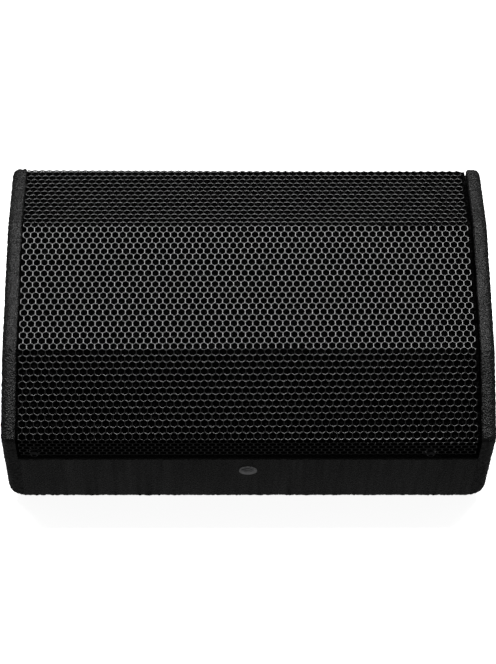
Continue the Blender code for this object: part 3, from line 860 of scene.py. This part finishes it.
def perforated_grille():
    mesh = perforated_flat()
    cage = bmesh.new()
    cage.from_mesh(mesh)
    for edge in cage.edges:
        heights = {round(vert.co.z / MM, 3) for vert in edge.verts}
        if heights in ({round(-RIM_DROP / MM, 3)}, {round(-WALL_END / MM, 3)}):
            edge.smooth = False
    border = [e for e in cage.edges if e.is_boundary]
    filled = bmesh.ops.holes_fill(cage, edges=border, sides=0)
    rim = (HOLES_IN_ROW + 0.5) / 2 * PITCH
    side_faces = [
        f for f in filled["faces"] if abs(abs(f.calc_center_median().x) - rim) < 0.1 * MM
    ]
    stretched = bmesh.ops.extrude_discrete_faces(cage, faces=side_faces)
    for face in stretched["faces"]:
        shift = math.copysign(EDGE_MARGIN, face.calc_center_median().x)
        bmesh.ops.translate(cage, verts=face.verts, vec=(shift, 0, 0))
    bmesh.ops.rotate(
        cage,
        cent=(0, MIDDLE_FACET / 2, 0),
        matrix=Matrix.Rotation(PATTERN_TURN, 3, "Z"),
        verts=cage.verts,
    )
    nearby = 4 * MM
    for fold, along in enumerate(PATH.folds):
        reach = PATH.reach(fold, SHEET_BEND)
        shares = (-1, -0.33, 0.33, 1) if reach > MM else (-1, 1)
        for share in shares:
            level = along + share * reach
            near = [f for f in cage.faces if abs(f.calc_center_median().y - level) < nearby]
            edges = {e for f in near for e in f.edges}
            verts = {v for f in near for v in f.verts}
            bmesh.ops.bisect_plane(
                cage,
                geom=list(verts) + list(edges) + near,
                dist=0.0001 * MM,
                plane_co=(0, level, 0),
                plane_no=(0, 1, 0),
            )
    for face in cage.faces:
        face.smooth = True
    cage.to_mesh(mesh)
    cage.free()
    PATH.bend(mesh)
    finished(
        "perforated_grille", mesh, POWDER, Matrix.Translation((GRILLE_CENTRE, 0, 0)),
        stands_for=("grille",),
    )


def foam_backing():
    """Open-cell foam behind the grille: its face is a field of small torn cells."""
    low = -LOWER_FACET - FOAM_ROUND_NOSE
    high = MIDDLE_FACET + UPPER_FACET + FOAM_ROUND_CREST
    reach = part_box("grille_foam")[1].x - GRILLE_CENTRE + FOAM_MARGIN
    crest = PATH.folds[-1]
    top = -(SHEET + FOAM_CLEAR)
    cage = bmesh.new()
    rows = []
    for j in range(FOAM_CELLS_ALONG + 1):
        along = low + (high - low) * j / FOAM_CELLS_ALONG
        tear = FOAM_TEAR_AT_CREST if abs(along - crest) < FOAM_CREST_STRIP else FOAM_TEAR
        row = []
        for i in range(FOAM_CELLS_ACROSS + 1):
            x = -reach + 2 * reach * i / FOAM_CELLS_ACROSS
            rough = noise.noise(Vector((x, along, 0)) * FOAM_CELL_NOISE)
            row.append(cage.verts.new((x, along, top - tear * (1 + rough))))
        rows.append(row)
    for lower, upper in zip(rows, rows[1:]):
        for i in range(FOAM_CELLS_ACROSS):
            cage.faces.new((lower[i], lower[i + 1], upper[i + 1], upper[i]))
    border = [e for e in cage.edges if e.is_boundary]
    skirt = bmesh.ops.extrude_edge_only(cage, edges=border)["geom"]
    for vert in skirt:
        if isinstance(vert, bmesh.types.BMVert):
            vert.co.z = top - FOAM + FOAM_CLEAR_BEHIND
    bmesh.ops.holes_fill(cage, edges=[e for e in cage.edges if e.is_boundary], sides=0)
    mesh = baked(cage, "foam_backing")
    PATH.bend(mesh)
    smoothed(mesh, 60)
    finished(
        "foam_backing", mesh, OPEN_FOAM, Matrix.Translation((GRILLE_CENTRE, 0, 0)),
        stands_for=("grille_foam",),
    )


# ---------------------------------------------------------------- fasteners

def socket_screw(node, matrix, head_height, shank, socket):
    """Button-head screw with a hexagonal socket, in the place of a CAD screw."""
    seat, low, high, radius = node_seat(node, matrix)
    base = high - head_height
    profile = [
        (shank, low),
        (shank, base),
        (radius, base),
        (radius, base + 0.12 * head_height),
        (radius * 0.97, base + 0.34 * head_height),
        (radius * 0.88, base + 0.62 * head_height),
        (radius * 0.74, base + 0.86 * head_height),
        (radius * 0.6, high),
        (socket * 1.16, high, hexagon),
        (socket, high - 0.18, hexagon),
        (socket, base + 0.25, hexagon),
        (socket * 0.25, base + 0.05, hexagon),
    ]
    mesh = turned(node + "_detailed", profile, sides=48, sharp=40)
    finished(mesh.name, mesh, OXIDE, seat, stands_for=(node,))


def all_screws():
    for side in ("left", "right"):
        socket_screw(f"grille_screw_{side}", CHIN_FRAME, head_height=2.9, shank=3.0, socket=2.6)
        socket_screw(
            f"grille_back_screw_{side}", BACK_FRAME, head_height=2.4, shank=2.4, socket=1.6
        )
    for k in range(1, 5):
        socket_screw(f"handle_cup_screw_{k}", BACK_FRAME, head_height=2.3, shank=2.4, socket=1.5)
        socket_screw(
            f"connector_plate_screw_{k}", REAR_FRAME, head_height=2.3, shank=2.4, socket=1.5
        )
        socket_screw(f"driver_bolt_{k}", BAFFLE_FRAME, head_height=2.3, shank=2.4, socket=2.0)


def threaded_insert():
    """Steel insert with a turned lip and a helical thread."""
    seat, low, high, radius = node_seat("pole_insert", CHIN_FRAME)
    pitch = 2.5
    crest = 7.9
    thread_depth = 1.2
    run_in = 3                  # rings over which the thread comes up to its full depth
    step = 0.4
    thread_top = high - 2.1
    floor = low + 3.2
    lip = radius - 0.9
    sides = 72

    def ring(reach, height):
        angles = [2 * math.pi * k / sides for k in range(sides)]
        reach *= MM
        return [(reach * math.cos(a), reach * math.sin(a), height * MM) for a in angles]

    lip_profile = [
        (lip, low),
        (lip, high - 0.3),
        (lip - 0.3, high),
        (lip - 0.8, high),
        (lip - 1.0, high - 0.15),
        (lip - 2.3, high - 1.7),
    ]
    rings = [ring(*point) for point in lip_profile]
    for k in range(int((thread_top - floor) / step) + 1):
        height = thread_top - step * k
        row = []
        for n in range(sides):
            angle = 2 * math.pi * n / sides
            phase = (height / pitch + n / sides) % 1.0
            depth = thread_depth * abs(2 * phase - 1) * min(1, k / run_in + 0.2)
            reach = (crest + depth) * MM
            row.append((reach * math.cos(angle), reach * math.sin(angle), height * MM))
        rings.append(row)
    rings += [ring(crest - 0.3, floor), ring(1.0, floor - 0.6)]
    mesh = lofted("threaded_insert", rings, sharp=50)
    finished(
        "threaded_insert", mesh, ZINC, seat, stands_for=("pole_insert",)
    )


# ---------------------------------------------------------------- handle and connectors

def rounded_rectangle(width, height, radius, z, steps=6):
    points = []
    for corner, (sx, sy) in enumerate(((1, 1), (-1, 1), (-1, -1), (1, -1))):
        cx = sx * (width / 2 - radius)
        cy = sy * (height / 2 - radius)
        for k in range(steps + 1):
            angle = math.pi / 2 * (corner + k / steps)
            points.append((cx + radius * math.cos(angle), cy + radius * math.sin(angle), z))
    return points


TRAY_RIM = 14 * MM
TRAY_WALL = 2 * MM


def tray_mesh(name, low, high):
    """Deep-drawn tray: a flat rim, a rolled edge, drafted walls and a filleted floor."""
    width = high.x - low.x
    height = high.y - low.y
    open_width = width - 2 * TRAY_RIM
    open_height = height - 2 * TRAY_RIM
    outer_width = open_width + 2 * TRAY_WALL
    outer_height = open_height + 2 * TRAY_WALL
    top = high.z
    floor = low.z + TRAY_WALL
    edge = 0.6 * MM
    rim_radius = 8
    mouth_radius = 9
    levels = [
        (outer_width - 10 * MM, outer_height - 10 * MM, 5, low.z),
        (outer_width, outer_height, 10, low.z + 6 * MM),
        (outer_width, outer_height, 10, top - TRAY_WALL),
        (width, height, rim_radius, top - TRAY_WALL),
        (width, height, rim_radius, top - edge),
        (width - edge, height - edge, rim_radius, top - 0.2 * edge),
        (width - 2 * edge, height - 2 * edge, rim_radius, top),
        (open_width + 3 * MM, open_height + 3 * MM, mouth_radius + 1.5, top),
        (open_width + 1.2 * MM, open_height + 1.2 * MM, mouth_radius + 0.6, top - 0.5 * MM),
        (open_width, open_height, mouth_radius, top - 1.8 * MM),
        (open_width - 1.5 * MM, open_height - 1.5 * MM, mouth_radius, floor + 5 * MM),
        (open_width - 4 * MM, open_height - 4 * MM, mouth_radius - 1, floor + 1.4 * MM),
        (open_width - 9 * MM, open_height - 9 * MM, mouth_radius - 4, floor),
    ]
    rings = [rounded_rectangle(w, h, r * MM, z) for w, h, r, z in levels]
    mesh = lofted(name, rings, sharp=40)
    mesh.transform(Matrix.Translation(((low.x + high.x) / 2, (low.y + high.y) / 2, 0)))
    return mesh


def handle():
    low, high = local_box("handle_cup", BACK_FRAME)
    mesh = tray_mesh("handle_recess", low, high)
    finished(mesh.name, mesh, POWDER, BACK_FRAME, stands_for=("handle_cup",))
    low, high = local_box("handle_bar", BACK_FRAME)
    half = (high.x - low.x) / 2 / MM
    grip = (high.z - low.z) / 2 / MM
    core = grip * 0.73
    ribs = 24
    rib_depth = 0.55
    start = half - 16
    profile = [(grip * 0.7, -half), (core, -half + 0.5), (core, -half + 13)]
    for k in range(ribs + 1):
        along = -start + 2 * start * k / ribs
        swell = grip - 0.25 + 0.25 * math.cos(math.pi * (k / ribs - 0.5) * 1.6)
        profile.append((swell - rib_depth, along - 0.5 * start / ribs))
        profile.append((swell, along - 0.2 * start / ribs))
        profile.append((swell, along + 0.2 * start / ribs))
        profile.append((swell - rib_depth, along + 0.5 * start / ribs))
    profile += [(core, half - 13), (core, half - 0.5), (grip * 0.7, half)]
    bar = turned("handle_grip", profile, sides=32, sharp=50)
    seat = BACK_FRAME @ Matrix.Translation((low + high) / 2)
    seat = seat @ Matrix.Rotation(math.pi / 2, 4, "Y")
    finished("handle_grip", bar, RUBBER, seat, stands_for=("handle_bar",))


def keyed(angle):
    """Socket wall with two keyways, one wider than the other."""
    away = abs((angle + math.pi) % (2 * math.pi) - math.pi)
    if away < math.radians(14):
        return 1.14
    if away > math.radians(171):
        return 1.1
    return 1.0


def speaker_socket(use):
    """Round locking socket: a domed flange, a keyed annular mouth and a slotted core."""
    node = f"speaker_socket_{use}"
    seat, low, high, radius = node_seat(node, REAR_FRAME)
    depth = 17
    profile = [
        (11.6, low),
        (11.9, low + 0.4),
        (11.9, high - 3),
        (radius, high - 3),
        (radius, high - 1.4),
        (radius - 0.3, high - 0.7),
        (radius - 1.1, high - 0.15),
        (radius - 2.0, high),
        (11.6, high),
        (11.2, high - 0.3),
        (10.4, high - 1.0, keyed),
        (10.4, high - depth, keyed),
        (5.2, high - depth),
        (5.2, high - 1.8),
        (4.9, high - 1.2),
        (3.6, high - 1.1),
        (3.3, high - 1.5),
        (3.1, high - 9),
        (0.4, high - 9.2),
    ]
    mesh = turned(node + "_detailed", profile, sides=72, sharp=35)
    contacts = []
    for k in range(4):
        turn = Matrix.Rotation(math.pi / 4 + math.pi / 2 * k, 4, "Z")
        low_corner = Vector((4.9, -0.9, high - depth + 0.2)) * MM
        high_corner = Vector((5.9, 0.9, high - 6)) * MM
        contacts.append(box_mesh(low_corner, high_corner, turn))
    contact = joined(contacts, node + "_contacts")
    finished(contact.name, contact, ZINC, seat)
    finished(mesh.name, mesh, PLASTIC, seat, stands_for=(node,))


def connector_field():
    low, high = local_box("connector_plate", REAR_FRAME)
    mesh = tray_mesh("connector_tray", low, high)
    through = 10
    holes = [
        ("speaker_socket_in", 12.3, 48),
        ("speaker_socket_link", 12.3, 48),
        ("mode_selector_knob", 3.4, 24),
    ]
    cutters = []
    for node, radius, sides in holes:
        seat, bottom, top, _ = node_seat(node, REAR_FRAME)
        place = REAR_FRAME.inverted() @ seat
        cutters.append(bore(radius, bottom - through, top + through, place, sides))
    mesh = smoothed(carved(mesh, cutters), 40)
    finished(
        "connector_tray", mesh, POWDER, REAR_FRAME,
        stands_for=("connector_plate",),
    )
    for use in ("in", "link"):
        speaker_socket(use)


def fluted(angle):
    return 1 + 0.035 * math.cos(14 * angle)


def selector_knob():
    """Fluted knob with a raised pointer, turning with the selector."""
    node = "mode_selector_knob"
    low, high = local_box(node, REAR_FRAME)
    socket_low, socket_high = local_box("speaker_socket_in", REAR_FRAME)
    centre_y = (socket_low.y + socket_high.y) / 2
    seat = REAR_FRAME @ Matrix.Translation(((low.x + high.x) / 2, centre_y, 0))
    bottom = low.z / MM
    top = high.z / MM
    skirt = bottom + 19
    profile = [
        (2.9, bottom),
        (2.9, skirt),
        (9.3, skirt),
        (9.5, skirt + 0.4),
        (9.4, skirt + 2.0),
        (8.7, skirt + 2.6, fluted),
        (8.3, top - 2.2, fluted),
        (7.8, top - 1.5),
        (7.2, top - 1.2),
        (0.5, top - 1.3),
    ]
    knob = turned("selector_knob_body", profile, sides=112, sharp=40)
    pointer_low = Vector((-0.9 * MM, -10.5 * MM, high.z - 2.4 * MM))
    pointer_high = Vector((0.9 * MM, -1.5 * MM, high.z - 0.6 * MM))
    pointer = box_mesh(pointer_low, pointer_high, Matrix.Identity(4))
    mesh = smoothed(joined([knob, pointer], "selector_knob"), 40)
    finished(
        "selector_knob", mesh, PLASTIC, seat, body="selector",
        stands_for=(node,),
    )


def rubber_feet():
    for end in ("front", "rear"):
        for side in ("left", "right"):
            node = f"foot_{end}_{side}"
            seat, low, high, radius = node_seat(node, BASE_FRAME)
            profile = [
                (radius, low),
                (radius, low + 0.8),
                (radius - 0.3, low + 2.4),
                (radius - 0.9, high - 1.0),
                (radius - 1.6, high - 0.25),
                (radius - 2.4, high),
                (6.2, high),
                (5.6, high - 0.3),
                (5.4, high - 2.6),
                (4.2, high - 2.8),
                (3.9, high - 2.2),
                (1.9, high - 2.0, hexagon),
                (1.8, high - 3.2, hexagon),
                (0.4, high - 3.3, hexagon),
            ]
            mesh = turned(node + "_moulded", profile, sides=48, sharp=35)
            finished(mesh.name, mesh, RUBBER, seat, stands_for=(node,))


# ---------------------------------------------------------------- kept CAD pieces

def smooth_cad_look(nodes, surface):
    """Give kept CAD nodes a material of this scene and smooth shading."""
    for name in nodes:
        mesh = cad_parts[name].data
        mesh.materials.clear()
        mesh.materials.append(surface)
        smoothed(mesh, 35)


def kept_nodes():
    # baffle and batten near black: partly their matt black paint, partly painted shade in the
    # gap above the chin strip
    smooth_cad_look(["baffle", "grille_batten"], black_plywood_painted_shade())
    smooth_cad_look(["grille_spacer_left", "grille_spacer_right"], ZINC)
    smooth_cad_look(["woofer_top_plate", "woofer_back_plate"], ZINC)
    smooth_cad_look(["woofer_basket"], cast_aluminium())
    smooth_cad_look(["woofer_magnet", "hf_magnet"], ferrite())
    smooth_cad_look(["woofer_cone"], pressed_paper())
    smooth_cad_look(["woofer_voice_coil", "crossover_coil"], copper_wire())
    smooth_cad_look(["hf_diaphragm"], titanium())
    smooth_cad_look(["woofer_spider"], woven_spider())
    smooth_cad_look(["woofer_surround", "driver_lead"], RUBBER)
    smooth_cad_look(["woofer_gasket"], OPEN_FOAM)
    smooth_cad_look(
        [
            "mode_switch", "hf_horn", "hf_phase_plug", "hf_cover",
            "port_tube_left", "port_tube_right", "crossover_capacitor",
        ],
        PLASTIC,
    )
    smooth_cad_look(["crossover_board"], solder_mask())


# ---------------------------------------------------------------- stage

def floor():
    cage = bmesh.new()
    bmesh.ops.create_grid(cage, x_segments=1, y_segments=1, size=14)
    mesh = baked(cage, "floor")
    mesh.materials.append(pale_floor())
    obj = linked("floor", mesh)
    obj.visible_diffuse = False
    obj.visible_glossy = False


def area_light(name, location, target, size, power):
    data = bpy.data.lights.new(name, "AREA")
    data.shape = "RECTANGLE"
    data.size = size[0]
    data.size_y = size[1]
    data.energy = power
    obj = linked(name, data)
    obj.location = location
    obj.rotation_mode = "QUATERNION"
    obj.rotation_quaternion = (Vector(target) - Vector(location)).to_track_quat("-Z", "Y")
    return obj


def lights():
    world = bpy.data.worlds.new("studio")
    world.use_nodes = True
    background = world.node_tree.nodes["Background"]
    background.inputs["Color"].default_value = (1, 1, 1, 1)
    background.inputs["Strength"].default_value = 0.12
    bpy.context.scene.world = world
    area_light(
        "overhead_softbox", location=(0, -0.25, 2.4), target=(0, 0, 0.2),
        size=(2.4, 0.8), power=112,
    )


CAMERA_FROM_FOLD = (-2.65, 1.2592)   # in depth and height, from the lower fold
CAMERA_PITCH = math.radians(25)
CAMERA_TURN = math.radians(0.98)     # the camera stands this far round to the left
CAMERA_ROLL = math.radians(0.45)
CAMERA_ASIDE = 1.5 * MM
LENS = 133.5


def camera():
    data = bpy.data.cameras.new("camera")
    data.lens = LENS
    data.sensor_width = 36
    data.clip_end = 100
    obj = linked("camera", data)
    turn = Matrix.Rotation(-CAMERA_TURN, 4, "Z")
    place = Vector((
        CAMERA_ASIDE, LOWER_FOLD.x + CAMERA_FROM_FOLD[0], LOWER_FOLD.y + CAMERA_FROM_FOLD[1]
    ))
    tilt = Euler((math.pi / 2 - CAMERA_PITCH, 0, 0)).to_matrix().to_4x4()
    roll = Matrix.Rotation(CAMERA_ROLL, 4, "Z")
    obj.matrix_world = turn @ Matrix.Translation(place) @ tilt @ roll
    bpy.context.scene.camera = obj


# ---------------------------------------------------------------- assembly

camera()
lights()
floor()
side_panel("left", -1)
side_panel("right", 1)
cabinet_band()
perforated_grille()
foam_backing()
all_screws()
threaded_insert()
handle()
connector_field()
selector_knob()
rubber_feet()
kept_nodes()
bpy.context.scene.view_settings.view_transform = "Standard"
